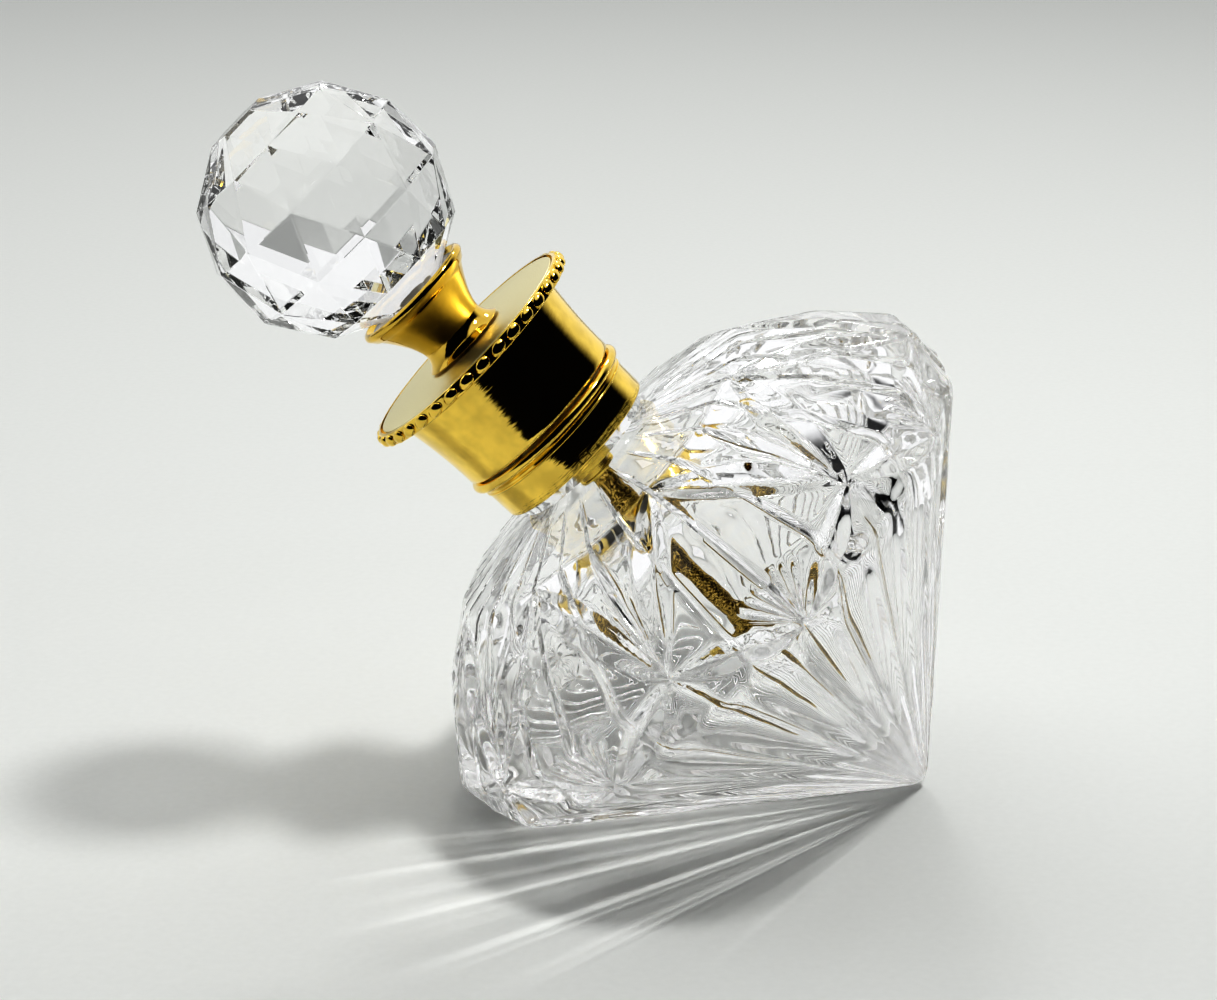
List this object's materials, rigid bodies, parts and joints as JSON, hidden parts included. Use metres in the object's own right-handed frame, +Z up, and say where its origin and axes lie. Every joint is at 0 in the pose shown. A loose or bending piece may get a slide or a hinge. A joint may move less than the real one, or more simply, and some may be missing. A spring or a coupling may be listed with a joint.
{
  "type": "perfume bottle",
  "caption": "cut-glass gem-shaped perfume bottle lying on one facet, with a screw stopper of gold metal, a crystal ball finial and a dauber rod",
  "frame": {"origin": "middle of the bounding box's bottom, on the surface the bottle lies on", "axes": "+Z is up; the bottle lies on one base facet with its stopper leaning up towards -X and its point towards +X; -Y is the front"},
  "size_m": [0.088, 0.078, 0.0881],
  "materials": {
    "bottle_glass": "clear pressed glass with mitre cuts, fire-polished edges",
    "crystal": "machine-cut lead crystal, polished facets",
    "gold_plate": "polished gold plate with faint upright brush marks",
    "satin_plate": "pale satin plate",
    "liner_plastic": "natural moulded plastic",
    "washer_rubber": "soft translucent white washer",
    "brass_stock": "plain turned brass",
    "clear_cement": "set clear cement",
    "knurled_gold": "gold plate over a fine knurl"
  },
  "bodies": {
    "bottle": {"glass_bottle": "bottle_glass", "neck_collar": "gold_plate"},
    "dauber": {"sealing_washer": "washer_rubber", "dauber_socket": "gold_plate", "dauber_rod": "knurled_gold"},
    "cap": {"cap_barrel": "gold_plate", "beaded_rim": "gold_plate", "cap_top_plate": "satin_plate", "thread_liner": "liner_plastic", "lock_nut": "brass_stock", "stem_stud": "brass_stock", "ball_cup": "gold_plate", "ball_cement": "clear_cement", "crystal_ball": "crystal"}
  },
  "joints": [
    {"name": "stopper_rise", "type": "slide", "parent": "bottle", "child": "dauber", "axis": [-0.703, 0, 0.7112], "range_m": [0, 0.0045]},
    {"name": "stopper_turn", "type": "hinge", "parent": "dauber", "child": "cap", "pos_m": [-0.00588, 0, 0.04979], "axis": [-0.703, 0, 0.7112], "range_deg": [0, 540]}
  ],
  "couplings": [
    {"joint": "stopper_rise", "follows": "stopper_turn", "m_per_rad": 0.00047746}
  ]
}
